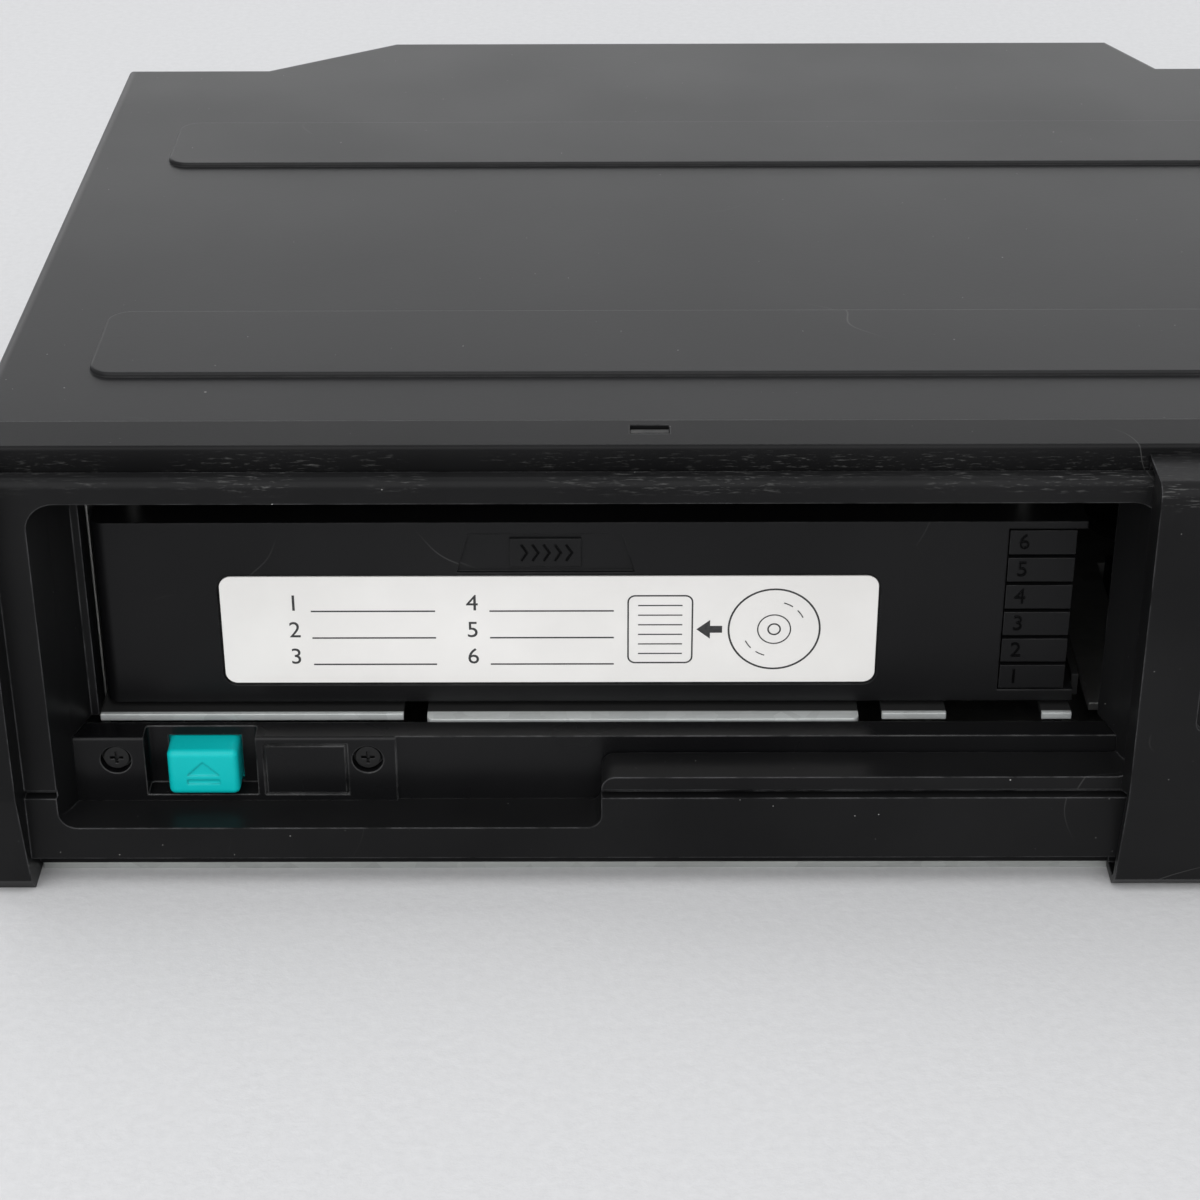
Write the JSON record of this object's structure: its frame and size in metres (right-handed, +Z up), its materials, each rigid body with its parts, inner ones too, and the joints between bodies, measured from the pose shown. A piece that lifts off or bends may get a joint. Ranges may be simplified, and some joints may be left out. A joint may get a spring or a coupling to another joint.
{
  "type": "car disc changer",
  "caption": "Low rectangular car changer: steel case, plastic front with a wide mouth, sliding door, slide-in disc magazine with trays, eject button and lift mechanism.",
  "frame": {"origin": "middle of the base, on the surface it stands on", "axes": "+X to the right seen from the front, +Y from the front to the back, +Z up"},
  "size_m": [0.257, 0.18, 0.0675],
  "materials": {
    "cover_paint": "dark grey satin paint",
    "bezel_plastic": "black, fine satin",
    "magazine_plastic": "black satin",
    "label_print": "white, printed",
    "button_plastic": "teal, satin gloss",
    "zinc_steel": "zinc plated",
    "chassis_steel": "plated sheet",
    "black_screw": "black oxide",
    "tray_plastic": "black satin",
    "disc": "polycarbonate over aluminium",
    "damper_rubber": "matt",
    "board": "green solder mask",
    "component": "black moulding",
    "motor_can": "plated can",
    "natural_plastic": "natural acetal",
    "lens_glass": "coated lens",
    "contact": "gold plated"
  },
  "bodies": {
    "case": {"base_pan": "zinc_steel", "top_cover": "cover_paint", "front_bezel": "bezel_plastic", "slot_frame": "bezel_plastic", "slot_frame_screws": "black_screw", "magazine_guide_plate": "zinc_steel", "chassis_frame": "chassis_steel", "upper_chassis": "chassis_steel", "suspension_dampers": "damper_rubber", "suspension_springs": "zinc_steel", "selector_brackets": "chassis_steel", "lift_guide_posts": "zinc_steel", "lift_motor": "motor_can", "main_circuit_board": "board", "board_components": "component", "board_standoffs": "natural_plastic", "output_socket": "component", "socket_contacts": "contact", "cover_screws": "black_screw", "cover_catch": "zinc_steel", "eject_switch": "component", "magazine_leaf_spring": "zinc_steel"},
    "door_front": {"door_front_leaf": "bezel_plastic"},
    "door_rear": {"door_rear_leaf": "bezel_plastic"},
    "eject_button": {"eject_button": "button_plastic"},
    "magazine": {"magazine_shell": "magazine_plastic", "magazine_label": "label_print", "magazine_push_plate": "magazine_plastic"},
    "tray_1": {"tray_1": "tray_plastic", "disc_1": "disc"},
    "tray_2": {"tray_2": "tray_plastic", "disc_2": "disc"},
    "tray_3": {"tray_3": "tray_plastic", "disc_3": "disc"},
    "tray_4": {"tray_4": "tray_plastic", "disc_4": "disc"},
    "tray_5": {"tray_5": "tray_plastic", "disc_5": "disc"},
    "tray_6": {"tray_6": "tray_plastic", "disc_6": "disc"},
    "lift_deck": {"lift_deck": "chassis_steel", "spindle_motor": "motor_can", "pickup_guide_rods": "zinc_steel", "sled_motor": "motor_can"},
    "turntable": {"turntable": "component"},
    "pickup_sled": {"pickup_sled": "component", "pickup_lens": "lens_glass"},
    "feed_screw": {"feed_screw": "natural_plastic"},
    "tray_puller": {"tray_puller": "natural_plastic"},
    "cam_plate": {"cam_plate": "chassis_steel"},
    "lift_pinion": {"lift_pinion": "natural_plastic"},
    "clamp_arm": {"clamp_arm": "chassis_steel"},
    "clamp_puck": {"clamp_puck": "natural_plastic"},
    "angle_selector_left": {"angle_selector_left": "natural_plastic"},
    "angle_selector_right": {"angle_selector_right": "natural_plastic"}
  },
  "joints": [
    {"name": "door_front_slide", "type": "slide", "parent": "case", "child": "door_front", "axis": [1, 0, 0], "range_m": [-0.152, 0]},
    {"name": "door_rear_slide", "type": "slide", "parent": "case", "child": "door_rear", "axis": [1, 0, 0], "range_m": [-0.076, 0]},
    {"name": "eject_press", "type": "slide", "parent": "case", "child": "eject_button", "axis": [0, 1, 0], "range_m": [0, 0.0015], "stiffness_N_per_m": 400, "springref_m": -0.0006},
    {"name": "magazine_slide", "type": "slide", "parent": "case", "child": "magazine", "axis": [0, -1, 0], "range_m": [0, 0.15]},
    {"name": "tray_1_slide", "type": "slide", "parent": "magazine", "child": "tray_1", "axis": [1, 0, 0], "range_m": [0, 0.0915]},
    {"name": "tray_2_slide", "type": "slide", "parent": "magazine", "child": "tray_2", "axis": [1, 0, 0], "range_m": [0, 0.0915]},
    {"name": "tray_3_slide", "type": "slide", "parent": "magazine", "child": "tray_3", "axis": [1, 0, 0], "range_m": [0, 0.0915]},
    {"name": "tray_4_slide", "type": "slide", "parent": "magazine", "child": "tray_4", "axis": [1, 0, 0], "range_m": [0, 0.0915]},
    {"name": "tray_5_slide", "type": "slide", "parent": "magazine", "child": "tray_5", "axis": [1, 0, 0], "range_m": [0, 0.0915]},
    {"name": "tray_6_slide", "type": "slide", "parent": "magazine", "child": "tray_6", "axis": [1, 0, 0], "range_m": [0, 0.0915]},
    {"name": "lift_slide", "type": "slide", "parent": "case", "child": "lift_deck", "axis": [0, 0, 1], "range_m": [0, 0.025]},
    {"name": "cam_slide", "type": "slide", "parent": "case", "child": "cam_plate", "axis": [0, 1, 0], "range_m": [0, 0.03]},
    {"name": "lift_pinion_spin", "type": "hinge", "parent": "case", "child": "lift_pinion", "pos_m": [0.1185, 0.013, 0.05465], "axis": [1, 0, 0], "range_deg": [0, 345]},
    {"name": "turntable_spin", "type": "hinge", "parent": "lift_deck", "child": "turntable", "pos_m": [0.0493, -0.005, 0.02], "axis": [0, 0, 1], "continuous": true},
    {"name": "sled_slide", "type": "slide", "parent": "lift_deck", "child": "pickup_sled", "axis": [0, -1, 0], "range_m": [0, 0.024]},
    {"name": "feed_screw_spin", "type": "hinge", "parent": "lift_deck", "child": "feed_screw", "pos_m": [0.0663, -0.03, 0.015], "axis": [0, 1, 0], "range_deg": [0, 3460]},
    {"name": "puller_slide", "type": "slide", "parent": "lift_deck", "child": "tray_puller", "axis": [1, 0, 0], "range_m": [0, 0.066]},
    {"name": "clamp_slide", "type": "slide", "parent": "case", "child": "clamp_arm", "axis": [0, 0, 1], "range_m": [-0.024, 0]},
    {"name": "puck_spin", "type": "hinge", "parent": "clamp_arm", "child": "clamp_puck", "pos_m": [0.0493, -0.005, 0.054], "axis": [0, 0, 1], "continuous": true},
    {"name": "angle_selector_left_turn", "type": "hinge", "parent": "case", "child": "angle_selector_left", "pos_m": [-0.125, 0.006, 0.036], "axis": [1, 0, 0], "range_deg": [0, 90]},
    {"name": "angle_selector_right_turn", "type": "hinge", "parent": "case", "child": "angle_selector_right", "pos_m": [0.125, 0.006, 0.036], "axis": [1, 0, 0], "range_deg": [0, 90]}
  ],
  "couplings": [
    {"joint": "door_rear_slide", "follows": "door_front_slide", "ratio": 0.5},
    {"joint": "cam_slide", "follows": "lift_slide", "ratio": 1.2},
    {"joint": "lift_pinion_spin", "follows": "lift_slide", "rad_per_m": 240},
    {"joint": "feed_screw_spin", "follows": "sled_slide", "rad_per_m": 2513.3}
  ]
}
